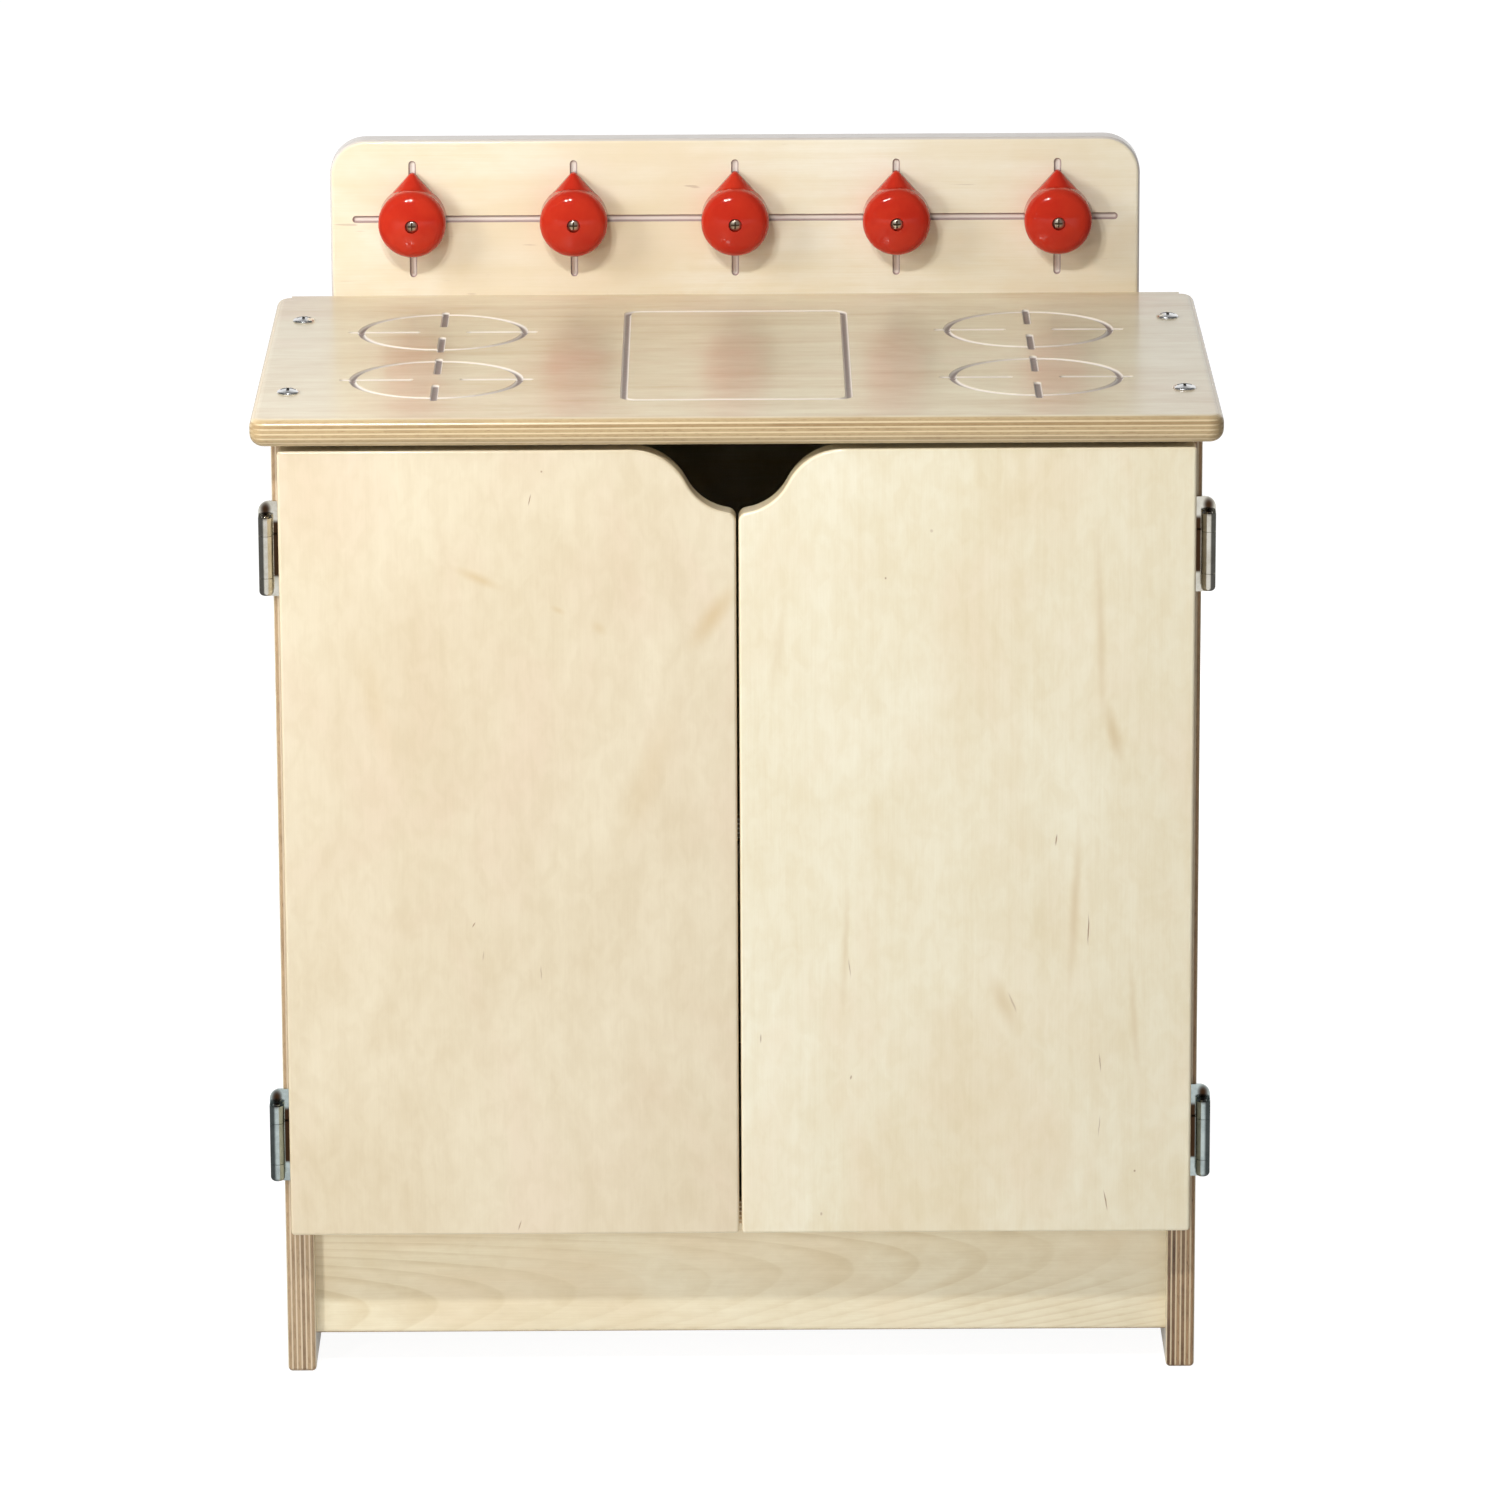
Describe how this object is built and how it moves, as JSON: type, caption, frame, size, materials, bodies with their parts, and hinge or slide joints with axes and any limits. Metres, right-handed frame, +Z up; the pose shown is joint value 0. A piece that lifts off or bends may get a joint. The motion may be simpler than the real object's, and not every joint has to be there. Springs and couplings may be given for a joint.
{
  "type": "toy stove",
  "caption": "Child's plywood play stove: a two-door cabinet with finger scoop, routed burners and griddle on the counter, and turning pointer knobs on a backsplash.",
  "frame": {"origin": "on the floor, under the middle of the whole stove", "axes": "+X to the right of someone facing the doors, +Y to the rear, +Z up"},
  "size_m": [0.635, 0.406, 0.773],
  "materials": {
    "birch_plywood": "glossy clear lacquer",
    "dowel_beech": "raw",
    "red_gloss": "glossy red paint",
    "hinge_steel": "satin nickel",
    "zinc_screw": "bright zinc",
    "catch_plastic": "moulded",
    "magnet_ferrite": "pressed ferrite"
  },
  "bodies": {
    "cabinet": {"left_side_panel": "birch_plywood", "right_side_panel": "birch_plywood", "back_panel": "birch_plywood", "top_panel": "birch_plywood", "bottom_shelf": "birch_plywood", "middle_shelf": "birch_plywood", "kick_plate": "birch_plywood", "carcass_dowels": "dowel_beech", "top_bolts": "zinc_screw", "barrel_nuts": "zinc_screw", "knob_screws": "zinc_screw", "catch_housing": "catch_plastic", "catch_magnets": "magnet_ferrite", "catch_screws": "zinc_screw", "frame_leaf_screws": "zinc_screw", "left_upper_frame_leaf": "hinge_steel", "left_upper_hinge_pin": "hinge_steel", "left_lower_frame_leaf": "hinge_steel", "left_lower_hinge_pin": "hinge_steel", "right_upper_frame_leaf": "hinge_steel", "right_upper_hinge_pin": "hinge_steel", "right_lower_frame_leaf": "hinge_steel", "right_lower_hinge_pin": "hinge_steel"},
    "left_door_swing": {"left_door": "birch_plywood", "left_door_leaf_screws": "zinc_screw", "left_strike_plate": "hinge_steel", "left_strike_screws": "zinc_screw", "left_upper_door_leaf": "hinge_steel", "left_lower_door_leaf": "hinge_steel"},
    "right_door_swing": {"right_door": "birch_plywood", "right_door_leaf_screws": "zinc_screw", "right_strike_plate": "hinge_steel", "right_strike_screws": "zinc_screw", "right_upper_door_leaf": "hinge_steel", "right_lower_door_leaf": "hinge_steel"},
    "knob_1_turn": {"knob_1": "red_gloss"},
    "knob_2_turn": {"knob_2": "red_gloss"},
    "knob_3_turn": {"knob_3": "red_gloss"},
    "knob_4_turn": {"knob_4": "red_gloss"},
    "knob_5_turn": {"knob_5": "red_gloss"}
  },
  "joints": [
    {"name": "left_door_hinge", "type": "hinge", "parent": "cabinet", "child": "left_door_swing", "pos_m": [-0.309, -0.18005, 0.37], "axis": [0, 0, -1], "range_deg": [0, 180]},
    {"name": "right_door_hinge", "type": "hinge", "parent": "cabinet", "child": "right_door_swing", "pos_m": [0.309, -0.18005, 0.37], "axis": [0, 0, 1], "range_deg": [0, 180]},
    {"name": "knob_1_spin", "type": "hinge", "parent": "cabinet", "child": "knob_1_turn", "pos_m": [-0.223, 0.184, 0.7175], "axis": [0, -1, 0], "continuous": true},
    {"name": "knob_2_spin", "type": "hinge", "parent": "cabinet", "child": "knob_2_turn", "pos_m": [-0.1115, 0.184, 0.7175], "axis": [0, -1, 0], "continuous": true},
    {"name": "knob_3_spin", "type": "hinge", "parent": "cabinet", "child": "knob_3_turn", "pos_m": [0, 0.184, 0.7175], "axis": [0, -1, 0], "continuous": true},
    {"name": "knob_4_spin", "type": "hinge", "parent": "cabinet", "child": "knob_4_turn", "pos_m": [0.1115, 0.184, 0.7175], "axis": [0, -1, 0], "continuous": true},
    {"name": "knob_5_spin", "type": "hinge", "parent": "cabinet", "child": "knob_5_turn", "pos_m": [0.223, 0.184, 0.7175], "axis": [0, -1, 0], "continuous": true}
  ]
}
